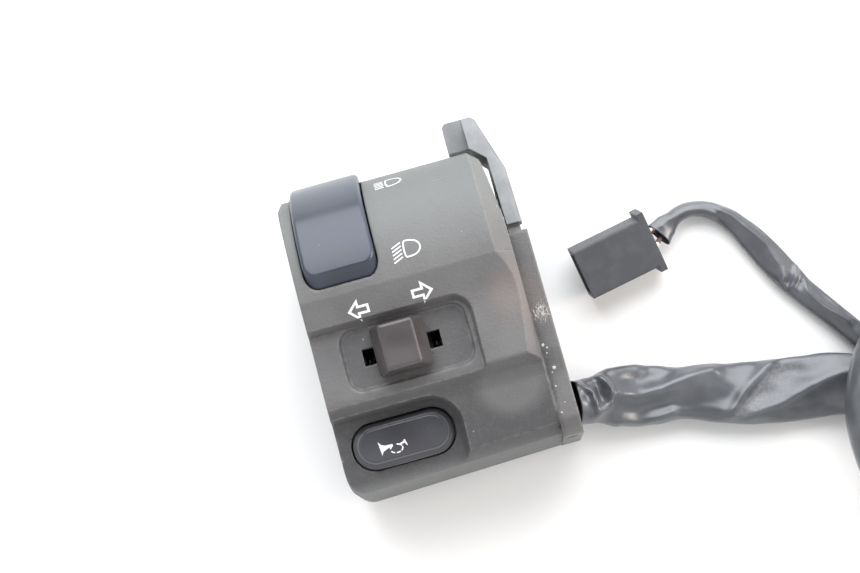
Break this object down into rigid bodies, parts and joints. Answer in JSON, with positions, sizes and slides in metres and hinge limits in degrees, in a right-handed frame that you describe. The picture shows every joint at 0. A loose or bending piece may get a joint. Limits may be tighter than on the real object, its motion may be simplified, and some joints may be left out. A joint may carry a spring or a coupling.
{
  "type": "handlebar switch cluster",
  "caption": "Left-hand motorcycle handlebar switch housing with dimmer rocker, turn signal slider, horn button, choke lever and a sleeved wiring harness.",
  "frame": {"origin": "centre of the handlebar clamp bore, in the parting plane of the two halves", "axes": "+X along the handlebar towards its middle, +Y up on the motorcycle, +Z towards the rider; the part lies on its flat back"},
  "size_m": [0.251, 0.1982, 0.0574],
  "materials": {
    "housing_plastic": "fine grain, matte",
    "rocker_plastic": "satin",
    "knob_plastic": "gloss",
    "horn_plastic": "gloss",
    "lever_plastic": "satin",
    "base_plastic": "moulded",
    "screw_steel": "zinc plated",
    "spring_steel": "bright wire",
    "contact_brass": "stamped",
    "sleeve_vinyl": "soft, creased",
    "collar_rubber": "matte",
    "tape_vinyl": "semi gloss",
    "wire_vinyl": "semi gloss",
    "plug_plastic": "moulded",
    "pin_tin": "tinned"
  },
  "bodies": {
    "housing": {"front_housing": "housing_plastic", "rear_housing": "housing_plastic", "housing_screws": "screw_steel", "module_screws": "screw_steel", "choke_washer": "spring_steel", "dimmer_pivot_pins": "screw_steel", "dimmer_base": "base_plastic", "dimmer_terminals": "contact_brass", "turn_tray": "base_plastic", "turn_terminals": "contact_brass", "return_springs": "spring_steel", "horn_base": "base_plastic", "horn_contacts": "contact_brass", "horn_spring": "spring_steel", "inner_loom": "wire_vinyl", "harness_collar": "collar_rubber", "harness_sleeve": "sleeve_vinyl", "joint_tape": "tape_vinyl", "clutch_lead": "sleeve_vinyl", "clutch_wires": "wire_vinyl", "clutch_plug": "plug_plastic", "clutch_pins": "pin_tin", "main_wires": "wire_vinyl", "main_plug": "plug_plastic", "main_pins": "pin_tin"},
    "choke": {"choke_lever": "lever_plastic"},
    "rocker": {"dimmer_rocker": "rocker_plastic", "detent_spring": "spring_steel"},
    "detent": {"detent_plunger": "base_plastic"},
    "blade": {"dimmer_blade": "contact_brass"},
    "carriage": {"turn_carriage": "base_plastic", "cancel_spring": "spring_steel"},
    "knob": {"turn_knob": "knob_plastic", "turn_stem": "base_plastic"},
    "horn": {"horn_button": "horn_plastic", "horn_disc": "contact_brass"}
  },
  "joints": [
    {"name": "choke_turn", "type": "hinge", "parent": "housing", "child": "choke", "pos_m": [0.0302, 0, 0], "axis": [1, 0, 0], "range_deg": [-28, 4]},
    {"name": "dimmer_rock", "type": "hinge", "parent": "housing", "child": "rocker", "pos_m": [-0.01415, 0.0135, 0.02009], "axis": [1, 0, 0], "range_deg": [-6, 6]},
    {"name": "detent_slide", "type": "slide", "parent": "rocker", "child": "detent", "axis": [0, 0.6428, 0.766], "range_m": [0, 0.0008], "stiffness_N_per_m": 200, "springref_m": -0.001, "deforming": ["detent_spring"]},
    {"name": "blade_tilt", "type": "hinge", "parent": "housing", "child": "blade", "pos_m": [-0.01415, 0.0099, 0.0158], "axis": [1, 0, 0], "range_deg": [-5.5, 5.5]},
    {"name": "turn_slide", "type": "slide", "parent": "housing", "child": "carriage", "axis": [1, 0, 0], "range_m": [-0.005, 0.005], "stiffness_N_per_m": 120, "deforming": ["return_springs"]},
    {"name": "turn_push", "type": "slide", "parent": "carriage", "child": "knob", "axis": [0, 0, -1], "range_m": [0, 0.0015], "stiffness_N_per_m": 250, "springref_m": -0.001, "deforming": ["cancel_spring"]},
    {"name": "horn_press", "type": "slide", "parent": "housing", "child": "horn", "axis": [0, 0.2487, -0.9686], "range_m": [0, 0.0018], "stiffness_N_per_m": 400, "springref_m": -0.0015, "deforming": ["horn_spring"]}
  ],
  "couplings": [
    {"joint": "blade_tilt", "follows": "dimmer_rock", "ratio": -0.8}
  ]
}
